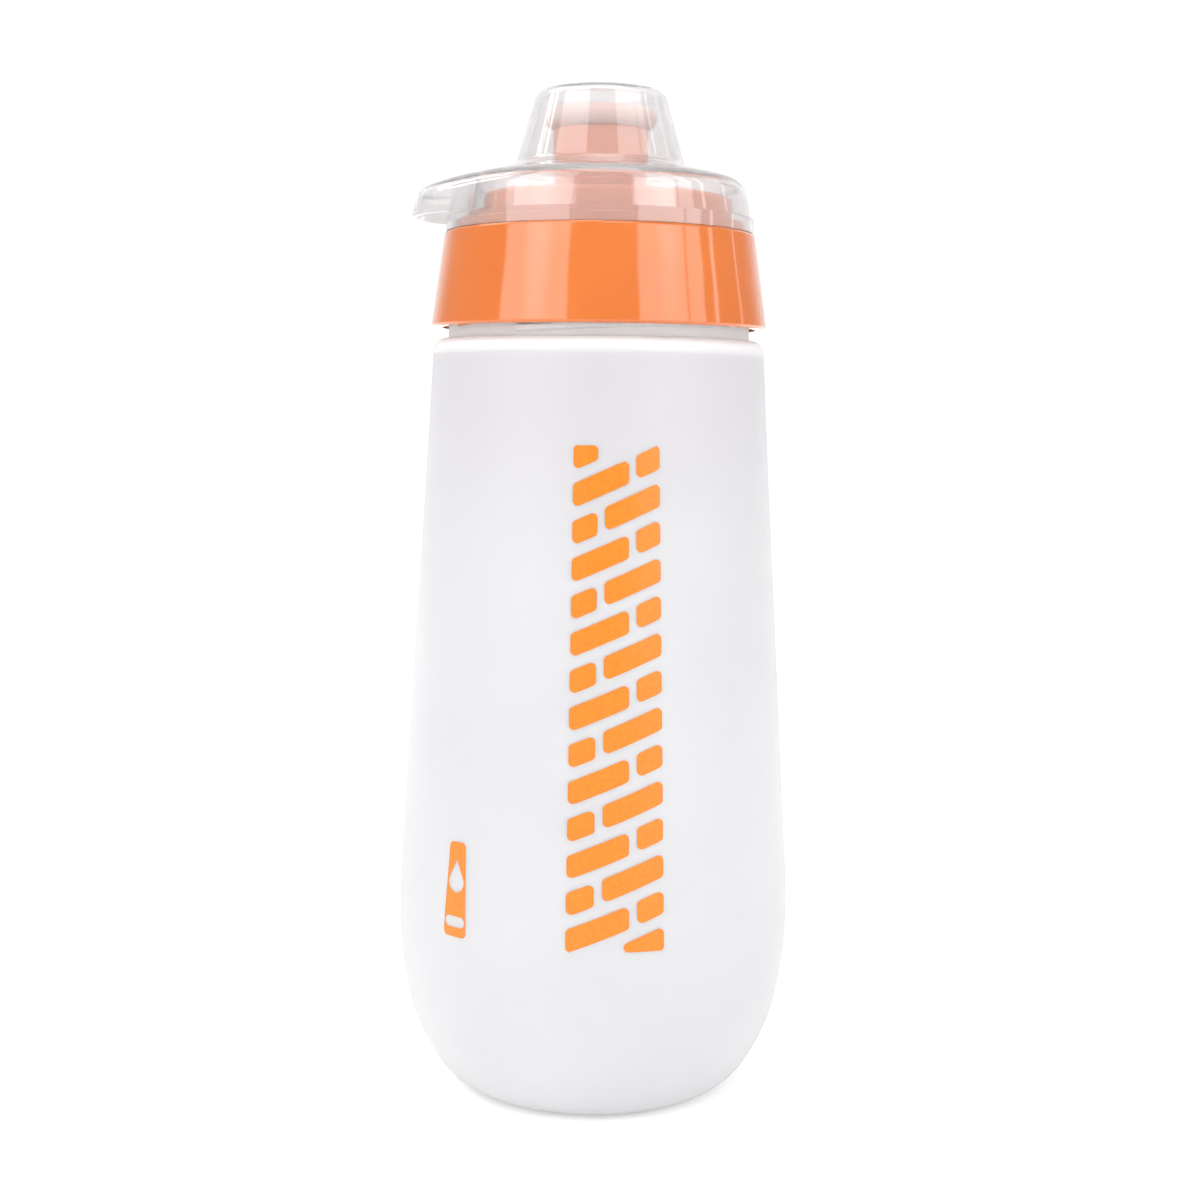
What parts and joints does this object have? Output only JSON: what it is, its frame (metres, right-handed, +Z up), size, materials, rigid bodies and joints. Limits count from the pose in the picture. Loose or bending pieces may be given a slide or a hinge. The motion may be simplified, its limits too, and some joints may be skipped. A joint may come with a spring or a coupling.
{
  "type": "sports squeeze bottle",
  "caption": "Squeeze bottle with frosted tapering body, orange screw lid, push-pull nozzle with soft mouthpiece and clear press-on overcap with a thumb beak.",
  "frame": {"origin": "centre of the base, on the surface that it stands on", "axes": "+Z up along the bottle's axis, the overcap's thumb beak towards -X"},
  "size_m": [0.0835, 0.0836, 0.2092],
  "materials": {
    "frosted_bottle": "frosted translucent squeeze plastic, satin",
    "orange_plastic": "polished injection moulding",
    "seal_rubber": "matt silicone",
    "natural_plastic": "uncoloured moulding, satin",
    "soft_mouthpiece": "soft translucent elastomer, satin",
    "clear_plastic": "clear polished shell"
  },
  "bodies": {
    "bottle": {"bottle_body": "frosted_bottle"},
    "gasket": {"lid_gasket": "seal_rubber"},
    "lid": {"lid": "orange_plastic", "valve_post": "natural_plastic", "nozzle_seal": "seal_rubber"},
    "nozzle": {"nozzle_sleeve": "orange_plastic", "mouthpiece": "soft_mouthpiece"},
    "overcap": {"overcap": "clear_plastic"}
  },
  "joints": [
    {"name": "lid_lift", "type": "slide", "parent": "bottle", "child": "gasket", "axis": [0, 0, 1], "range_m": [0, 0.0226]},
    {"name": "lid_turn", "type": "hinge", "parent": "gasket", "child": "lid", "pos_m": [0, 0, 0.17], "axis": [0, 0, 1], "range_deg": [0, 900]},
    {"name": "nozzle_slide", "type": "slide", "parent": "lid", "child": "nozzle", "axis": [0, 0, 1], "range_m": [0, 0.0045]},
    {"name": "overcap_lift", "type": "slide", "parent": "nozzle", "child": "overcap", "axis": [0, 0, 1], "range_m": [0, 0.035]}
  ],
  "couplings": [
    {"joint": "lid_lift", "follows": "lid_turn", "m_per_rad": 0.0014324}
  ]
}
